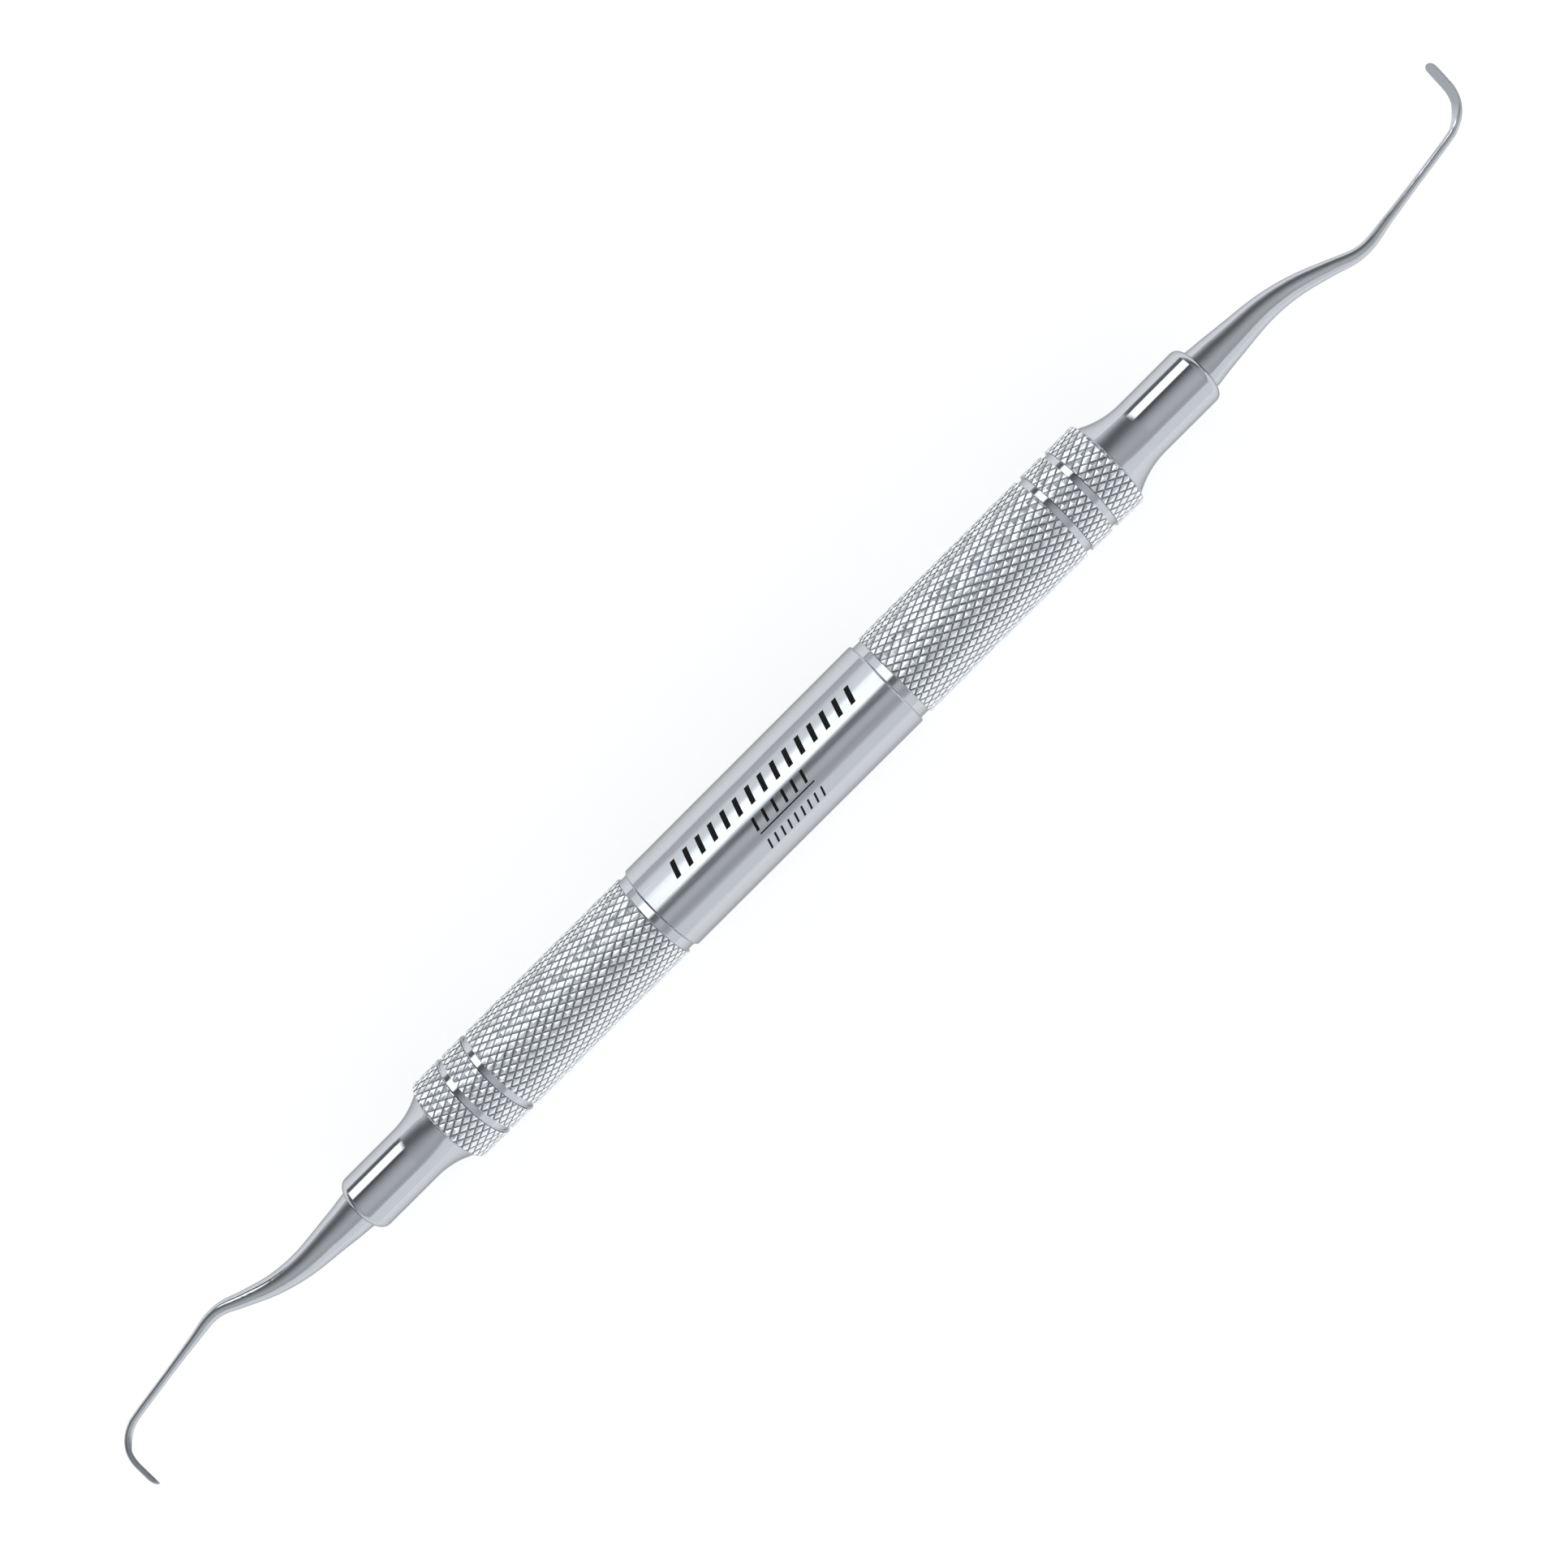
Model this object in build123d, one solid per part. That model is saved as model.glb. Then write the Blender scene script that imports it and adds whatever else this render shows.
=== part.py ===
"""Double-ended hand scaler (a curette): a hollow knurled handle, two turned noses and two forged tips.

Millimetres. The origin is the middle of the handle, on its axis. +X runs along the handle to end A, and
+Z is up as the scaler lies. End B is the mirror image of end A, clocked half a turn about the handle,
which comes to the same as end A inverted through the origin.
"""

import os
from math import cos, pi, radians, sin, sqrt, tan

from build123d import *

# Handle tube: smooth barrel in the middle, two long knurled grips, two ring grooves near each end.
HANDLE_RADIUS = 4.75
HANDLE_HALF_LENGTH = 42.7
HANDLE_BORE_RADIUS = 3.85
HANDLE_EDGE_RADIUS = 0.45
BARREL_HALF_LENGTH = 14.6
NECK_WIDTH = 1.0
NECK_DEPTH = 0.3
RING_GROOVES = (35.9, 39.05)
RING_GROOVE_WIDTH = 0.75
RING_GROOVE_DEPTH = 0.35
GROOVE_FILLET = 0.12

# Nose: a turned plug, pressed into the handle, that carries one tip.
SPIGOT_LENGTH = 8.0
SPIGOT_CHAMFER = 0.4
NOSE_BASE_RADIUS = 4.2
NOSE_RADIUS = 3.0
NOSE_FLARE_LENGTH = 4.4
NOSE_FLARE_SLOPE = 0.55
NOSE_LENGTH = 11.5
NOSE_EDGE_RADIUS = 0.75
DRILL_POINT_ANGLE = 118

# Tip: a round tang in the nose, a long tapered shank, a hook and a half-round blade.
TANG_RADIUS = 1.6
TANG_LENGTH = 10.0
TANG_CHAMFER = 0.3
SHANK_BASE_RADIUS = 2.16
SHANK_END_RADIUS = 0.37
TAPER_LENGTH = 26.0
TAPER_POWER = 1.75

# Centre line of tip A: the corners of its bends, its end, and the radius of each bend.
BEND = (64.0, 0.0, 0.0)
ELBOW = (71.6, -2.82, 0.9)
HOOK = (86.95, -0.6, 0.35)
TOE = (87.05, 5.03, 0.76)
BEND_RADII = (19.0, 4.0, 3.6)

# Blade: its flat face is ground on the inside of the hook, turned FACE_OFFSET degrees towards +Z.
FACE_OFFSET = 25
BLADE_LENGTH = 7.1
BLADE_HALF_WIDTH = 0.52
BLADE_DEPTH = 0.52
BLADE_GROWTH = 3.2
HEEL_LENGTH = 2.9
HEEL_START_ANGLE = 75
STRAIGHT_LENGTH = 2.5
TOE_ROUND = 0.55
TOE_BACK_ROUND = 1.2

# Number of steps between the sections that each lofted stretch is drawn through.
SHANK_STEPS = 18
HEEL_STEPS = 16
STRAIGHT_STEPS = 3
TOE_STEPS = 7

NOSE_END = HANDLE_HALF_LENGTH + NOSE_LENGTH
TANG_END = NOSE_END - TANG_LENGTH
FROM_THE_END = (Align.CENTER, Align.CENTER, Align.MIN)


def groove(centre, width, depth):
    """Half-section of a groove round the handle, flat-bottomed with filleted corners."""
    with BuildSketch() as section:
        with Locations((centre, HANDLE_RADIUS)):
            Rectangle(width, 2 * depth)
        bottom = section.vertices().group_by(Axis.Y)[0]
        fillet(bottom, GROOVE_FILLET)
    return section.sketch


def handle_tube():
    """Hollow handle. The knurled grips are as large as the smooth barrel, at the crests of the knurl."""
    wall = HANDLE_RADIUS - HANDLE_BORE_RADIUS
    with BuildSketch() as section:
        with Locations((0, HANDLE_BORE_RADIUS + wall / 2)):
            Rectangle(2 * HANDLE_HALF_LENGTH, wall)
        rims = section.vertices().group_by(Axis.Y)[-1]
        fillet(rims, HANDLE_EDGE_RADIUS)
    profile = section.sketch
    for side in (-1, 1):
        neck = side * (BARREL_HALF_LENGTH + NECK_WIDTH / 2)
        profile -= groove(neck, NECK_WIDTH, NECK_DEPTH)
        for ring in RING_GROOVES:
            profile -= groove(side * ring, RING_GROOVE_WIDTH, RING_GROOVE_DEPTH)
    return revolve(profile, Axis.X)


def tang_rod():
    """Round rod that fills the nose's bore, from its bottom to the nose's end face."""
    return Pos(TANG_END, 0, 0) * Rot(0, 90, 0) * Cylinder(TANG_RADIUS, TANG_LENGTH, align=FROM_THE_END)


def nose():
    """Nose of end A: a spigot in the handle, a flared waist and a straight body with a drilled bore."""
    shoulder = HANDLE_HALF_LENGTH
    waist = shoulder + NOSE_FLARE_LENGTH
    back = shoulder - SPIGOT_LENGTH
    with BuildSketch() as section:
        with BuildLine():
            Polyline(
                (waist, NOSE_RADIUS),
                (NOSE_END, NOSE_RADIUS),
                (NOSE_END, 0),
                (back, 0),
                (back, HANDLE_BORE_RADIUS - SPIGOT_CHAMFER),
                (back + SPIGOT_CHAMFER, HANDLE_BORE_RADIUS),
                (shoulder, HANDLE_BORE_RADIUS),
                (shoulder, NOSE_BASE_RADIUS),
            )
            Spline(
                (shoulder, NOSE_BASE_RADIUS),
                (waist, NOSE_RADIUS),
                tangents=((1, -NOSE_FLARE_SLOPE), (1, 0)),
            )
        make_face()
        rim = section.vertices().group_by(Axis.X)[-1].sort_by(Axis.Y)[-1]
        fillet(rim, NOSE_EDGE_RADIUS)
    point_depth = TANG_RADIUS / tan(radians(DRILL_POINT_ANGLE / 2))
    drill_point = Pos(TANG_END, 0, 0) * Rot(0, -90, 0) * Cone(TANG_RADIUS, 0, point_depth, align=FROM_THE_END)
    return revolve(section.sketch, Axis.X) - tang_rod() - drill_point


def tang():
    """Round tang of a tip, line to line with the nose's bore and chamfered at its inner end."""
    rod = tang_rod()
    return chamfer(rod.edges().sort_by(Axis.X)[0], TANG_CHAMFER)


def centre_line():
    """Centre line of tip A: out along the handle's axis, a slow bend, the elbow and the hook."""
    return FilletPolyline((NOSE_END, 0, 0), BEND, ELBOW, HOOK, TOE, radius=BEND_RADII)


def section_plane(line, distance):
    """Plane across the centre line, with X along the blade's width and Y away from its face."""
    along = line.tangent_at(distance, PositionMode.LENGTH)
    inwards = Vector(0, 0, 1).cross(along).normalized()
    upwards = along.cross(inwards)
    turn = radians(FACE_OFFSET)
    facing = inwards * cos(turn) + upwards * sin(turn)
    origin = line.position_at(distance, PositionMode.LENGTH)
    return Plane(origin=origin, x_dir=along.cross(facing), z_dir=along)


def shank_radius(distance):
    """Radius of the shank: a power-law taper down to a thin straight shank."""
    left = max(0, 1 - distance / TAPER_LENGTH)
    return SHANK_END_RADIUS + (SHANK_BASE_RADIUS - SHANK_END_RADIUS) * left**TAPER_POWER


def shank(line):
    """Round shank, from the nose to where the blade's heel starts."""
    end = line.length - BLADE_LENGTH
    sections = []
    for step in range(SHANK_STEPS + 1):
        distance = end * step / SHANK_STEPS
        circle = Wire.make_circle(shank_radius(distance), section_plane(line, distance))
        sections.append(Face(circle))
    return loft(sections)


def rounded_off(from_toe, length):
    """Share of its full size that an elliptical rounding of the given length leaves near the toe."""
    return sqrt(1 - max(0, 1 - from_toe / length) ** 2)


def half_round(line, from_toe):
    """Section at a distance from the toe: half round, or nearly round where the heel starts."""
    from_shank = BLADE_LENGTH - from_toe
    grown = min(1, from_shank / BLADE_GROWTH)
    ease = grown * grown * (3 - 2 * grown)
    half_width = SHANK_END_RADIUS + (BLADE_HALF_WIDTH - SHANK_END_RADIUS) * ease
    depth = SHANK_END_RADIUS + (BLADE_DEPTH - SHANK_END_RADIUS) * ease
    half_width *= rounded_off(from_toe, TOE_ROUND)
    depth *= rounded_off(from_toe, TOE_BACK_ROUND)
    past_half = HEEL_START_ANGLE * max(0, 1 - from_shank / HEEL_LENGTH)
    plane = section_plane(line, line.length - from_toe)
    back = Edge.make_ellipse(half_width, depth, plane, -past_half, 180 + past_half)
    flat = Edge.make_line(back @ 1, back @ 0)
    return Face(Wire([back, flat]))


def heel(line):
    """Bent stretch of the blade, where its flat runs in from the round shank."""
    run = BLADE_LENGTH - STRAIGHT_LENGTH
    sections = []
    for step in range(HEEL_STEPS + 1):
        sections.append(half_round(line, BLADE_LENGTH - run * step / HEEL_STEPS))
    return loft(sections)


def toe(line):
    """Straight stretch of the blade and its rounded end."""
    run = STRAIGHT_LENGTH - TOE_BACK_ROUND
    sections = []
    for step in range(STRAIGHT_STEPS):
        sections.append(half_round(line, STRAIGHT_LENGTH - run * step / STRAIGHT_STEPS))
    for step in range(TOE_STEPS):
        from_toe = TOE_BACK_ROUND * (1 - sin(pi / 2 * step / TOE_STEPS))
        sections.append(half_round(line, from_toe))
    return loft(sections + [Vertex(line @ 1)])


def tip():
    """Tip A in one piece: tang, shank and blade."""
    line = centre_line()
    return tang() + shank(line) + heel(line) + toe(line)


def other_end(piece):
    """The same piece for end B: mirrored across the middle of the handle and clocked half a turn."""
    return Rot(180, 0, 0) * piece.mirror(Plane.YZ)


if __name__ == "__main__":
    os.makedirs("parts", exist_ok=True)
    export_step(handle_tube(), "parts/handle_tube.step")
    for name, piece in (("nose", nose()), ("tip", tip())):
        export_step(piece, f"parts/{name}_a.step")
        export_step(other_end(piece), f"parts/{name}_b.step")
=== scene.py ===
"""Looks of the hand scaler: knurled handle mesh, polished steel, a light table and soft studio light.

Metres, in the CAD frame: X along the handle, Z up. Lengths in the constants are in millimetres and angles in
degrees, save where a comment says otherwise.
"""

import math
import random

import bmesh
import bpy
from mathutils import Matrix, Vector


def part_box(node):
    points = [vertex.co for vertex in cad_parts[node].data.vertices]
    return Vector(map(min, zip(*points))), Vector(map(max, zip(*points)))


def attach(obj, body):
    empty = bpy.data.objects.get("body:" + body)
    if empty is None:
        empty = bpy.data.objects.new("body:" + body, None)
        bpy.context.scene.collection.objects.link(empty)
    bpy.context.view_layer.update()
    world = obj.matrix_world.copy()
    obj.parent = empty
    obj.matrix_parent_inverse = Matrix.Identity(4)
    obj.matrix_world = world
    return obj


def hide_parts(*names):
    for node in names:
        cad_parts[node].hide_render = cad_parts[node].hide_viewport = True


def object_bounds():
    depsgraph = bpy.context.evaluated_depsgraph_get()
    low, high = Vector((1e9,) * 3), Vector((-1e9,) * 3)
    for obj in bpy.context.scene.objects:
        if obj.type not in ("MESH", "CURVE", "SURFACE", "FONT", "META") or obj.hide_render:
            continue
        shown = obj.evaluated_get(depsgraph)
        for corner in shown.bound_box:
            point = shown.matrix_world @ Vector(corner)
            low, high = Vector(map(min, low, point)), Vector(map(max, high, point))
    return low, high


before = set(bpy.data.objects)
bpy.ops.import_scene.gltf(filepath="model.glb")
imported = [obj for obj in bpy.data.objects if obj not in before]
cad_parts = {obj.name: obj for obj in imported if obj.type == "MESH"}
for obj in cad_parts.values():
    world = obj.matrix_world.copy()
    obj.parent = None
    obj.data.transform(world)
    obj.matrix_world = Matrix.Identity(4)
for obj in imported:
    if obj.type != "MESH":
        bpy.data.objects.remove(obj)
cad_low, cad_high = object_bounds()

MM = 0.001
TURN = 2 * math.pi

# Handle, as in the CAD model.
handle_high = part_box("handle_tube")[1]
HANDLE_RADIUS = handle_high.z / MM
HANDLE_HALF_LENGTH = handle_high.x / MM
BORE_RADIUS = 3.85
EDGE_RADIUS = 0.45
BARREL_HALF_LENGTH = 14.6
BARREL_EDGE = 0.12
NECK_WIDTH = 1.0
NECK_DEPTH = 0.3
RING_GROOVES = (35.9, 39.05)
RING_GROOVE_WIDTH = 0.75
RING_GROOVE_DEPTH = 0.35
GROOVE_CORNER = 0.1

# How finely the handle is divided: points round a ring, and cuts in the knurl's rounded end as shares of the
# edge radius. Then the angle between faces from which an edge is shaded sharp.
RING_SEGMENTS = 152
EDGE_CUTS = (0, 0.3, 0.55, 0.75, 0.9)
SHARP_ANGLE = 12
# In metres: how near a vertex is to a cut that goes through it, and to the rim that it belongs to.
CUT_TOLERANCE = 1e-8
RIM_TOLERANCE = 1e-7

# Knurl: low four-sided peaks between two crossing sets of helical grooves. The slope is the share of a
# diamond's width that each of its sides takes. The peak is how far its middle rises above its top's edges.
KNURL_STARTS = 38
KNURL_PITCH = 1.41
KNURL_DEPTH = 0.19
KNURL_SLOPE = 0.13
KNURL_PEAK = 0.055
KNURL_UNEVEN = 0.018

# Plain mark etched on the barrel: rows of slanted dashes, one of them underlined.
# Each row: angles round the handle in degrees, start and end along it, number of dashes, width of a dash.
MARK_ROWS = (
    (60.1, 80.1, -10.6, 12.0, 15, 0.55),
    (90.5, 105.4, -2.6, 3.8, 6, 0.32),
    (108.8, 110.4, -2.9, 3.9, 1, 6.80),
    (120.0, 133.5, -2.9, 4.0, 9, 0.22),
)
# Slant of a dash as a share of its length, its height above the barrel, and the longest step along it.
MARK_SLANT = 0.3
MARK_HEIGHT = 0.005
MARK_STEP = 2.5

# Finishes of the handle, in the order of its materials.
# The knurl's flanks are painted darker as shade in its grooves, and its crests painted near white as a
# highlight.
BARREL, TURNED, FLANK_PAINTED_SHADE, CREST_PAINTED_HIGHLIGHT, MARK = range(5)

# Ground finish of the blades: where it starts and is full, out from the handle's middle, and its look.
GRIND_START = 85.4
GRIND_FULL = 86.6
GROUND_COLOUR = (0.36, 0.375, 0.40, 1)
GROUND_ROUGHNESS = 0.22

# How fine the steel's marks are along X, Y and Z, in marks a metre: running round a turned piece or along it.
ROUND_GRAIN = (9000, 900, 900)
LONG_GRAIN = (250, 4500, 4500)

# Camera: where it aims, how far off it is and how far it leans towards end A.
AIM = (1.45, 0.1, 0.0)
CAMERA_DISTANCE = 199.2
CAMERA_LEAN = 3.6
CAMERA_LENS = 50
CAMERA_SENSOR = 36

# Light table under the scaler: its half width, the gap below the scaler, and how white and bright it is.
FLOOR_HALF_WIDTH = 4000
FLOOR_GAP = 0.1
FLOOR_WHITE = 0.80
FLOOR_GLOW = 0.56

# Studio light in three parts along the handle, each as brightness at angles from straight overhead, negative
# towards -Y. The floor hides what is past 90 degrees. In the photo's view the barrel and necks mirror the
# middle part: a broad white panel beside a dark gap.
LIGHT_MIDDLE = (
    (-92, 0.86),
    (-60, 0.88),
    (-52, 0.52),
    (-40, 0.45),
    (-28, 0.62),
    (-18, 0.60),
    (-12, 0.22),
    (0, 0.16),
    (7, 1.85),
    (36, 1.75),
    (44, 0.95),
    (68, 0.86),
    (72, 0.60),
    (80, 0.64),
    (92, 0.42),
)
# The ring grooves and noses mirror the parts beside it: a bright strip between two dark gaps.
LIGHT_BESIDE = (
    (-90, 0.92),
    (-52, 0.92),
    (-46, 0.55),
    (-36, 0.50),
    (-25, 0.60),
    (-8, 0.62),
    (6, 0.52),
    (20, 0.32),
    (30, 0.16),
    (40, 0.08),
    (44, 1.80),
    (70, 1.80),
    (74, 0.14),
    (80, 0.13),
    (90, 0.36),
)
# The flares and shanks mirror the parts at the ends, which have no bright strip.
LIGHT_ENDS = (
    (-90, 0.95),
    (-54, 0.90),
    (-46, 0.55),
    (-36, 0.50),
    (-25, 0.55),
    (-8, 0.56),
    (6, 0.48),
    (20, 0.36),
    (32, 0.24),
    (45, 0.16),
    (60, 0.18),
    (72, 0.34),
    (88, 0.75),
)
# Where one part gives way to the next, as how far the unit vector's X is from that of the middle.
MIDDLE_TO_BESIDE = (0.085, 0.17)
BESIDE_TO_ENDS = (0.31, 0.35)
# Colour of all of it, a little cool.
LIGHT_TINT = (0.985, 1.0, 1.03)


def cylinder_point(x, angle, radius):
    """Point on a cylinder round the handle's axis, from millimetres to metres."""
    return Vector((x, radius * math.cos(angle), radius * math.sin(angle))) * MM


def angle_of(vertex):
    """Angle of a vertex round the handle's axis."""
    return math.atan2(vertex.co.z, vertex.co.y)


def ring(bm, x, radius):
    """Closed ring of evenly spaced vertices round the handle's axis, sorted by angle."""
    vertices = []
    for step in range(RING_SEGMENTS):
        angle = TURN * (step + 0.5) / RING_SEGMENTS - math.pi
        vertices.append(bm.verts.new(cylinder_point(x, angle, radius)))
    return vertices


def bridge(bm, first, second):
    """Joins two closed rings of vertices, each sorted by angle, with quads or triangles."""
    if len(first) == len(second):
        for step in range(len(first)):
            ahead = (step + 1) % len(first)
            bm.faces.new((first[step], first[ahead], second[ahead], second[step]))
        return
    first_angles = [angle_of(v) for v in first]
    second_angles = [angle_of(v) for v in second]
    first_angles.append(first_angles[0] + TURN)
    second_angles.append(second_angles[0] + TURN)
    i = 0
    j = 0
    while i < len(first) or j < len(second):
        here = first[i % len(first)]
        there = second[j % len(second)]
        if j == len(second) or (i < len(first) and first_angles[i + 1] <= second_angles[j + 1]):
            bm.faces.new((here, first[(i + 1) % len(first)], there))
            i += 1
        else:
            bm.faces.new((here, second[(j + 1) % len(second)], there))
            j += 1


def knurl_grid(bm, start, end, noise):
    """Sheet of diamond-shaped peaks wrapped round the handle, a little longer than start to end.

    It is gridded along the two helices, u and v. Each diamond has three lines on each: the groove and the two
    edges of its top.
    """
    steps = (0.0, KNURL_SLOPE, 1.0 - KNURL_SLOPE)
    around = 3 * KNURL_STARTS
    made = {}
    heights = {}

    def vertex(u_index, v_index):
        """Vertex at a crossing of two lines, the same one again after a whole turn round the handle."""
        turn = (u_index // around) * around
        key = (u_index - turn, v_index - turn)
        if key in made:
            return made[key]
        u = key[0] // 3 + steps[key[0] % 3]
        v = key[1] // 3 + steps[key[1] % 3]
        x = (u - v) / 2 * KNURL_PITCH
        angle = (u + v) / 2 * TURN / KNURL_STARTS
        radius = HANDLE_RADIUS - KNURL_DEPTH
        if key[0] % 3 and key[1] % 3:
            diamond = (key[0] // 3, key[1] // 3)
            if diamond not in heights:
                heights[diamond] = noise.uniform(-KNURL_UNEVEN, 0)
            radius = HANDLE_RADIUS - KNURL_PEAK + heights[diamond] + noise.uniform(-KNURL_UNEVEN, 0)
        made[key] = bm.verts.new(cylinder_point(x, angle, radius))
        return made[key]

    # The place along the handle follows u minus v, and these reach past start and end.
    fewest = math.floor(2 * start / KNURL_PITCH) - 1
    most = math.ceil(2 * end / KNURL_PITCH) + 1
    square = ((0, 0), (1, 0), (1, 1), (0, 1))
    for u_index in range(around):
        for v_index in range(u_index - 3 * most, u_index - 3 * fewest):
            corners = [vertex(u_index + du, v_index + dv) for du, dv in square]
            if u_index % 3 == 1 and v_index % 3 == 1:
                middle = sum((v.co for v in corners), Vector()) / 4
                radius = (HANDLE_RADIUS - noise.uniform(0, 2 * KNURL_UNEVEN)) * MM
                angle = math.atan2(middle.z, middle.y)
                peak = bm.verts.new((middle.x, radius * math.cos(angle), radius * math.sin(angle)))
                for here, there in zip(corners, corners[1:] + corners[:1]):
                    bm.faces.new((here, there, peak))
            else:
                bm.faces.new(corners)


def slice_at(bm, x, clear_below=False, clear_above=False):
    """Cuts the mesh at a plane across the handle, and clears what lies on the named side of it."""
    geometry = bm.verts[:] + bm.edges[:] + bm.faces[:]
    bmesh.ops.bisect_plane(
        bm,
        geom=geometry,
        dist=CUT_TOLERANCE,
        plane_co=(x * MM, 0, 0),
        plane_no=(1, 0, 0),
        clear_inner=clear_below,
        clear_outer=clear_above,
    )


def rim_at(bm, x):
    """Vertices of the open edge at a plane across the handle, sorted by angle."""
    found = [v for v in bm.verts if v.is_boundary and abs(v.co.x - x * MM) < RIM_TOLERANCE]
    return sorted(found, key=angle_of)


def knurl_band(start, end, noise):
    """Mesh of one knurled band, cut square at both ends, and rounded where the handle's end is."""
    bm = bmesh.new()
    knurl_grid(bm, start, end, noise)
    slice_at(bm, start, clear_below=True)
    slice_at(bm, end, clear_above=True)
    far_end = max(abs(start), abs(end))
    if far_end > HANDLE_HALF_LENGTH - EDGE_RADIUS:
        side = math.copysign(1, end)
        edge_start = HANDLE_HALF_LENGTH - EDGE_RADIUS
        for share in EDGE_CUTS:
            slice_at(bm, side * (edge_start + EDGE_RADIUS * share))
        for v in bm.verts:
            past = min(abs(v.co.x) / MM - edge_start, EDGE_RADIUS)
            if past > 0:
                limit = HANDLE_RADIUS - EDGE_RADIUS + math.sqrt(EDGE_RADIUS**2 - past**2)
                radius = math.hypot(v.co.y, v.co.z)
                shrink = min(1, limit * MM / radius)
                v.co.y *= shrink
                v.co.z *= shrink
    return bm


def copy_into(bm, band):
    """Adds a band's mesh to bm."""
    mesh = bpy.data.meshes.new("band")
    band.to_mesh(mesh)
    band.free()
    bm.from_mesh(mesh)
    bpy.data.meshes.remove(mesh)


def recess(bm, before, after, x0, x1, depth):
    """Turned groove between two rims: two walls and a floor with small rounded corners."""
    stations = []
    for step in range(4):
        angle = math.pi / 2 * step / 3
        inward = GROOVE_CORNER * (1 - math.cos(angle))
        above_floor = GROOVE_CORNER * (1 - math.sin(angle))
        stations.append((x0 + inward, HANDLE_RADIUS - depth + above_floor))
    for x, radius in stations[::-1]:
        stations.append((x0 + x1 - x, radius))
    previous = before
    for x, radius in stations:
        current = ring(bm, x, radius)
        bridge(bm, previous, current)
        previous = current
    bridge(bm, previous, after)


def dash(bm, x0, x1, low, high):
    """Faces of one dash of the mark: a thin slab half sunk in the barrel, curved with it and slanted."""
    steps = max(1, round((high - low) / MARK_STEP))
    rows = []
    for step in range(steps + 1):
        angle = math.radians(low + (high - low) * step / steps)
        lean = MARK_SLANT * HANDLE_RADIUS * (math.radians(low) - angle)
        row = []
        for radius in (HANDLE_RADIUS - 2 * MARK_HEIGHT, HANDLE_RADIUS):
            for x in (x0, x1):
                row.append(bm.verts.new(cylinder_point(x + lean, angle, radius)))
        rows.append(row)
    faces = []
    for here, there in zip(rows[:-1], rows[1:]):
        for i, j in ((0, 1), (1, 3), (3, 2), (2, 0)):
            faces.append(bm.faces.new((here[i], here[j], there[j], there[i])))
    for a, b, c, d in (rows[0], rows[-1]):
        faces.append(bm.faces.new((a, b, d, c)))
    return faces


def etch_mark(bm):
    """Adds the rows of dashes to the handle's mesh."""
    faces = []
    for low, high, start, end, count, width in MARK_ROWS:
        for step in range(count):
            x = start + (end - start - width) * step / max(1, count - 1)
            faces += dash(bm, x, x + width, low, high)
    bmesh.ops.recalc_face_normals(bm, faces=faces)
    for face in faces:
        face.material_index = MARK


def finish_of(face):
    """Finish of one face of the handle: smooth barrel, turned groove, or the flank or crest of a knurl, which
    carry painted shade and painted highlight.
    """
    x = abs(face.calc_center_median().x) / MM
    if x < BARREL_HALF_LENGTH:
        return BARREL
    in_ring = any(abs(x - middle) < RING_GROOVE_WIDTH / 2 for middle in RING_GROOVES)
    if x < BARREL_HALF_LENGTH + NECK_WIDTH or in_ring:
        return TURNED
    radii = [math.hypot(v.co.y, v.co.z) / MM for v in face.verts]
    on_crest = min(radii) > HANDLE_RADIUS - KNURL_PEAK - 3 * KNURL_UNEVEN
    return CREST_PAINTED_HIGHLIGHT if on_crest else FLANK_PAINTED_SHADE


def add_knurl(bm, spans):
    """Adds the knurled bands on both sides of the middle, and returns the rims of all of them by place."""
    noise = random.Random(5)
    for side in (-1, 1):
        for near, far in spans:
            low, high = sorted((side * near, side * far))
            copy_into(bm, knurl_band(low, high, noise))
    return {side * x: rim_at(bm, side * x) for side in (-1, 1) for span in spans for x in span}


def add_barrel(bm):
    """Adds the smooth barrel with its bevelled ends, and returns its two rims by place.

    It is lower than in the CAD model by as much as the mark stands above it, so that the mark stays inside.
    """
    end = BARREL_HALF_LENGTH
    edge = BARREL_HALF_LENGTH - BARREL_EDGE
    end_radius = HANDLE_RADIUS - BARREL_EDGE
    radius = HANDLE_RADIUS - MARK_HEIGHT
    outline = ((-end, end_radius), (-edge, radius), (edge, radius), (end, end_radius))
    rings = [ring(bm, x, station_radius) for x, station_radius in outline]
    for first, second in zip(rings[:-1], rings[1:]):
        bridge(bm, first, second)
    return {-end: rings[0], end: rings[-1]}


def add_bore(bm, rims):
    """Closes the handle with its two end faces and the bore between them."""
    bores = []
    for side in (-1, 1):
        bore = ring(bm, side * HANDLE_HALF_LENGTH, BORE_RADIUS)
        bridge(bm, rims[side * HANDLE_HALF_LENGTH], bore)
        bores.append(bore)
    bridge(bm, *bores)


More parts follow.
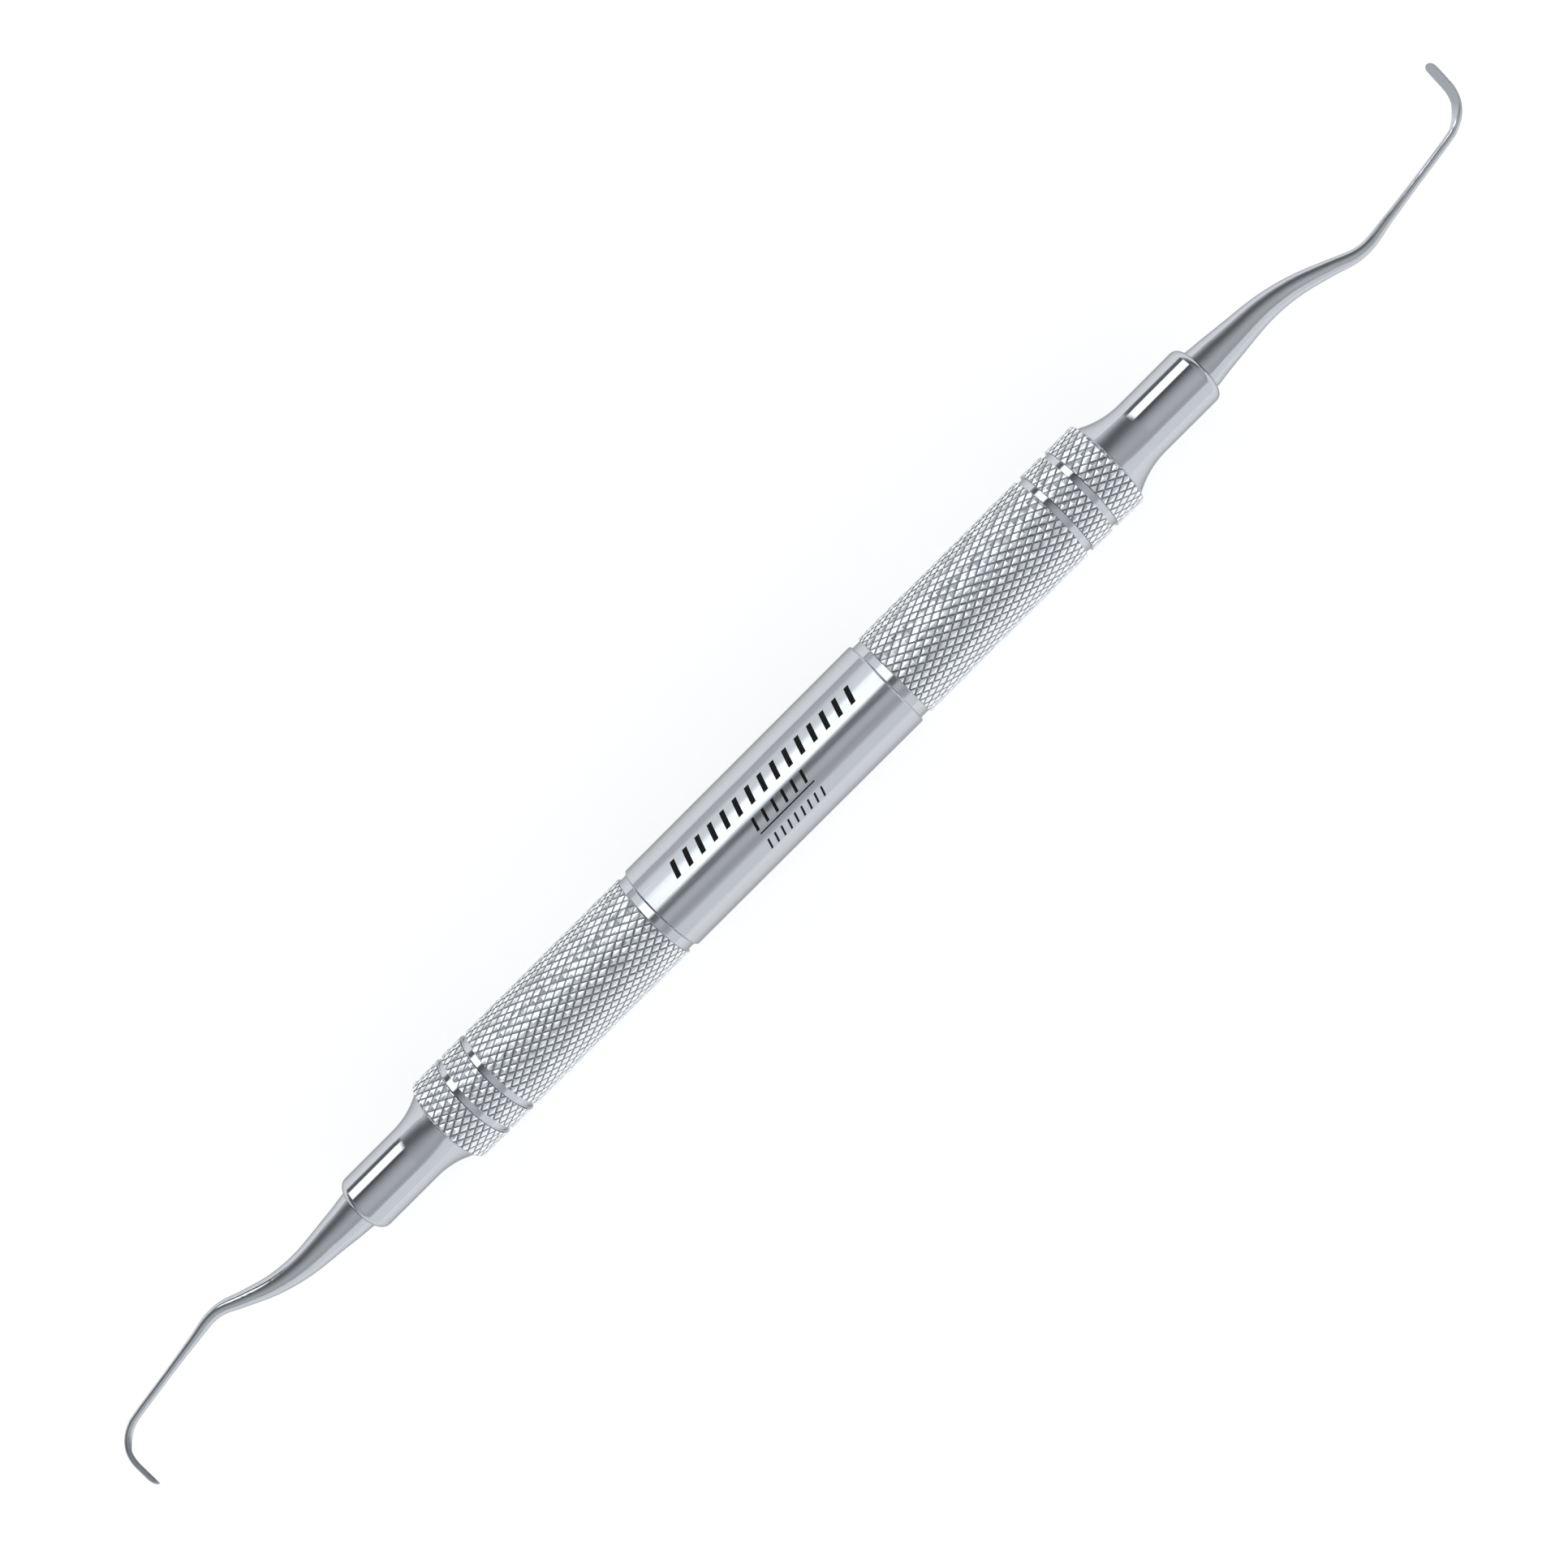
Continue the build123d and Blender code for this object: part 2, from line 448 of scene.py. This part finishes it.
def handle_mesh():
    """The whole hollow handle as one closed mesh: knurled bands, barrel, necks, ring grooves and bore."""
    bm = bmesh.new()
    neck_end = BARREL_HALF_LENGTH + NECK_WIDTH
    inner, outer = RING_GROOVES
    half = RING_GROOVE_WIDTH / 2
    spans = ((neck_end, inner - half), (inner + half, outer - half), (outer + half, HANDLE_HALF_LENGTH))
    rims = add_knurl(bm, spans)
    for side in (-1, 1):
        for (near, far), (next_near, next_far) in zip(spans[:-1], spans[1:]):
            low, high = sorted((side * far, side * next_near))
            recess(bm, rims[low], rims[high], low, high, RING_GROOVE_DEPTH)
    rims.update(add_barrel(bm))
    for side in (-1, 1):
        low, high = sorted((side * BARREL_HALF_LENGTH, side * neck_end))
        recess(bm, rims[low], rims[high], low, high, NECK_DEPTH)
    add_bore(bm, rims)
    bmesh.ops.recalc_face_normals(bm, faces=bm.faces[:])
    for face in bm.faces:
        face.material_index = finish_of(face)
    etch_mark(bm)
    mesh = bpy.data.meshes.new("handle")
    bm.to_mesh(mesh)
    bm.free()
    mesh.shade_smooth()
    mesh.set_sharp_from_angle(angle=math.radians(SHARP_ANGLE))
    return mesh


def new_material(name):
    """Material with nodes, and its shader."""
    material = bpy.data.materials.new(name)
    material.use_nodes = True
    return material, material.node_tree, material.node_tree.nodes["Principled BSDF"]


def add(tree, kind, **settings):
    """New node with the given properties."""
    node = tree.nodes.new(kind)
    for name, value in settings.items():
        setattr(node, name, value)
    return node


def math_node(tree, operation, *values):
    """Math node whose inputs are numbers or other nodes' outputs."""
    node = add(tree, "ShaderNodeMath", operation=operation)
    for socket, value in zip(node.inputs, values):
        if isinstance(value, (int, float)):
            socket.default_value = value
        else:
            tree.links.new(value, socket)
    return node.outputs[0]


def steel(name, colour, roughness, rough_spread, grain, bump, rim=0.47):
    """Steel with fine marks stretched along or round the handle, uneven in roughness and a little in colour.

    The rim is how bright the steel stays where it is seen edge on.
    """
    material, tree, shader = new_material(name)
    links = tree.links
    place = add(tree, "ShaderNodeTexCoord")
    stretch = add(tree, "ShaderNodeMapping")
    stretch.inputs["Scale"].default_value = grain
    marks = add(tree, "ShaderNodeTexNoise")
    marks.inputs["Scale"].default_value = 1.0
    marks.inputs["Detail"].default_value = 4.0
    marks.inputs["Roughness"].default_value = 0.6
    links.new(place.outputs["Object"], stretch.inputs["Vector"])
    links.new(stretch.outputs["Vector"], marks.inputs["Vector"])
    rough = add(tree, "ShaderNodeMapRange")
    rough.inputs["From Min"].default_value = 0.3
    rough.inputs["From Max"].default_value = 0.7
    rough.inputs["To Min"].default_value = roughness - rough_spread
    rough.inputs["To Max"].default_value = roughness + rough_spread
    links.new(marks.outputs["Fac"], rough.inputs["Value"])
    links.new(rough.outputs["Result"], shader.inputs["Roughness"])
    tint = add(tree, "ShaderNodeMix", data_type="RGBA")
    tint.inputs["A"].default_value = (*[c * 0.96 for c in colour], 1)
    tint.inputs["B"].default_value = (*colour, 1)
    links.new(marks.outputs["Fac"], tint.inputs["Factor"])
    links.new(tint.outputs["Result"], shader.inputs["Base Color"])
    raised = add(tree, "ShaderNodeBump")
    raised.inputs["Strength"].default_value = bump
    raised.inputs["Distance"].default_value = 0.01 * MM
    links.new(marks.outputs["Fac"], raised.inputs["Height"])
    links.new(raised.outputs["Normal"], shader.inputs["Normal"])
    shader.inputs["Metallic"].default_value = 1.0
    shader.inputs["Specular Tint"].default_value = (rim, rim, rim, 1)
    return material


def grind_blades(material):
    """Darkens and dulls the steel past the blades' heels, where the tips are ground rather than polished."""
    tree = material.node_tree
    shader = tree.nodes["Principled BSDF"]
    place = add(tree, "ShaderNodeTexCoord")
    split = add(tree, "ShaderNodeSeparateXYZ")
    tree.links.new(place.outputs["Object"], split.inputs["Vector"])
    along = math_node(tree, "ABSOLUTE", split.outputs["X"])
    share = add(tree, "ShaderNodeMapRange")
    share.inputs["From Min"].default_value = GRIND_START * MM
    share.inputs["From Max"].default_value = GRIND_FULL * MM
    tree.links.new(along, share.inputs["Value"])
    looks = (("Base Color", "RGBA", GROUND_COLOUR), ("Roughness", "FLOAT", GROUND_ROUGHNESS))
    for name, kind, ground in looks:
        blend = add(tree, "ShaderNodeMix", data_type=kind)
        tree.links.new(share.outputs["Result"], blend.inputs["Factor"])
        tree.links.new(shader.inputs[name].links[0].from_socket, blend.inputs["A"])
        blend.inputs["B"].default_value = ground
        tree.links.new(blend.outputs["Result"], shader.inputs[name])


def camera():
    """Camera above the scaler, with its up side halfway between +X and +Y."""
    lean = math.radians(CAMERA_LEAN)
    back = Vector((math.sin(lean), 0, math.cos(lean)))
    up = Vector((1, 1, 0)).normalized()
    right = up.cross(back).normalized()
    up = back.cross(right)
    data = bpy.data.cameras.new("camera")
    data.lens = CAMERA_LENS
    data.sensor_width = CAMERA_SENSOR
    data.clip_start = 0.001
    made = bpy.data.objects.new("camera", data)
    bpy.context.scene.collection.objects.link(made)
    turn = Matrix((right, up, back)).transposed().to_4x4()
    made.matrix_world = Matrix.Translation((Vector(AIM) + back * CAMERA_DISTANCE) * MM) @ turn
    bpy.context.scene.camera = made


def floor():
    """Pale light table under the scaler."""
    material, tree, shader = new_material("floor")
    shader.inputs["Base Color"].default_value = (FLOOR_WHITE, FLOOR_WHITE, FLOOR_WHITE, 1)
    shader.inputs["Roughness"].default_value = 0.9
    shader.inputs["Specular IOR Level"].default_value = 0.0
    shader.inputs["Emission Color"].default_value = (1, 1, 1, 1)
    shader.inputs["Emission Strength"].default_value = FLOOR_GLOW
    mesh = bpy.data.meshes.new("floor")
    half = FLOOR_HALF_WIDTH * MM
    corners = [(-half, -half, 0), (half, -half, 0), (half, half, 0), (-half, half, 0)]
    mesh.from_pydata(corners, [], [(0, 1, 2, 3)])
    mesh.materials.append(material)
    made = bpy.data.objects.new("floor", mesh)
    made.location.z = cad_low.z - FLOOR_GAP * MM
    bpy.context.scene.collection.objects.link(made)


def studio_ramp(tree, share, stops):
    """Brightness of one part of the light. The share goes from 0 to 1 all round, with overhead at 0.5."""
    ramp = add(tree, "ShaderNodeValToRGB")
    tree.links.new(share, ramp.inputs["Fac"])
    elements = ramp.color_ramp.elements
    while len(elements) < len(stops):
        elements.new(0.5)
    for element, (degrees, level) in zip(elements, stops):
        element.position = degrees / 360 + 0.5
        element.color = (*[level * tint for tint in LIGHT_TINT], 1)
    return ramp.outputs["Color"]


def blend_past(tree, amount, stretch, before, after):
    """Goes from one colour to another as an amount passes through a stretch."""
    step = add(tree, "ShaderNodeMapRange", interpolation_type="SMOOTHSTEP")
    step.inputs["From Min"].default_value = stretch[0]
    step.inputs["From Max"].default_value = stretch[1]
    tree.links.new(amount, step.inputs["Value"])
    mix = add(tree, "ShaderNodeMix", data_type="RGBA")
    tree.links.new(step.outputs["Result"], mix.inputs["Factor"])
    tree.links.new(before, mix.inputs["A"])
    tree.links.new(after, mix.inputs["B"])
    return mix.outputs["Result"]


def sky():
    """Soft studio over the scaler. The camera itself sees plain white in its place.

    Level steel mirrors the camera's lean, so the middle of the light is set off by as much.
    """
    world = bpy.data.worlds.new("studio")
    world.use_nodes = True
    tree = world.node_tree
    background = tree.nodes["Background"]
    place = add(tree, "ShaderNodeTexCoord")
    split = add(tree, "ShaderNodeSeparateXYZ")
    tree.links.new(place.outputs["Generated"], split.inputs["Vector"])
    angle = math_node(tree, "ARCTAN2", split.outputs["Y"], split.outputs["Z"])
    share = math_node(tree, "MULTIPLY_ADD", angle, 1 / TURN, 0.5)
    from_middle = math_node(tree, "ADD", split.outputs["X"], math.sin(math.radians(CAMERA_LEAN)))
    along = math_node(tree, "ABSOLUTE", from_middle)
    middle = studio_ramp(tree, share, LIGHT_MIDDLE)
    beside = studio_ramp(tree, share, LIGHT_BESIDE)
    ends = studio_ramp(tree, share, LIGHT_ENDS)
    inner = blend_past(tree, along, MIDDLE_TO_BESIDE, middle, beside)
    light = blend_past(tree, along, BESIDE_TO_ENDS, inner, ends)
    plain = add(tree, "ShaderNodeBackground")
    plain.inputs["Color"].default_value = (1, 1, 1, 1)
    path = add(tree, "ShaderNodeLightPath")
    mix = add(tree, "ShaderNodeMixShader")
    tree.links.new(light, background.inputs["Color"])
    tree.links.new(path.outputs["Is Camera Ray"], mix.inputs[0])
    tree.links.new(background.outputs[0], mix.inputs[1])
    tree.links.new(plain.outputs[0], mix.inputs[2])
    tree.links.new(mix.outputs[0], tree.nodes["World Output"].inputs["Surface"])
    bpy.context.scene.world = world


# Each finish: colour, roughness and its spread, grain, strength of its marks, and for the knurl its rim.
satin = steel("barrel_steel", (0.61, 0.63, 0.66), 0.15, 0.04, LONG_GRAIN, 0.25)
# Knurl crests: colour and rim raised to near white, a painted highlight on the tops of the peaks.
crest = steel("knurl_crest_painted_highlight", (0.97, 0.99, 1.0), 0.2, 0.07, ROUND_GRAIN, 0.4, 0.95)
# Knurl flanks: colour darker than the other steel, painted shade in the grooves between the peaks.
flank = steel("knurl_flank_painted_shade", (0.53, 0.55, 0.58), 0.2, 0.06, ROUND_GRAIN, 0.3, 0.8)
etched = steel("mark_black", (0.02, 0.02, 0.022), 0.5, 0.1, ROUND_GRAIN, 0.1)
turned = steel("groove_steel", (0.62, 0.64, 0.67), 0.07, 0.03, ROUND_GRAIN, 0.1)
polished = steel("nose_steel", (0.61, 0.63, 0.66), 0.06, 0.02, ROUND_GRAIN, 0.1)
bright = steel("tip_steel", (0.61, 0.63, 0.66), 0.08, 0.03, LONG_GRAIN, 0.15)
grind_blades(bright)

handle = bpy.data.objects.new("knurled_handle", handle_mesh())
bpy.context.scene.collection.objects.link(handle)
for material in (satin, turned, flank, crest, etched):
    handle.data.materials.append(material)
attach(handle, "root")
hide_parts("handle_tube")

for node, material in (("nose_a", polished), ("nose_b", polished), ("tip_a", bright), ("tip_b", bright)):
    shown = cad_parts[node]
    for slot in shown.material_slots:
        slot.material = material

camera()
floor()
sky()
bpy.context.scene.view_settings.view_transform = "Standard"
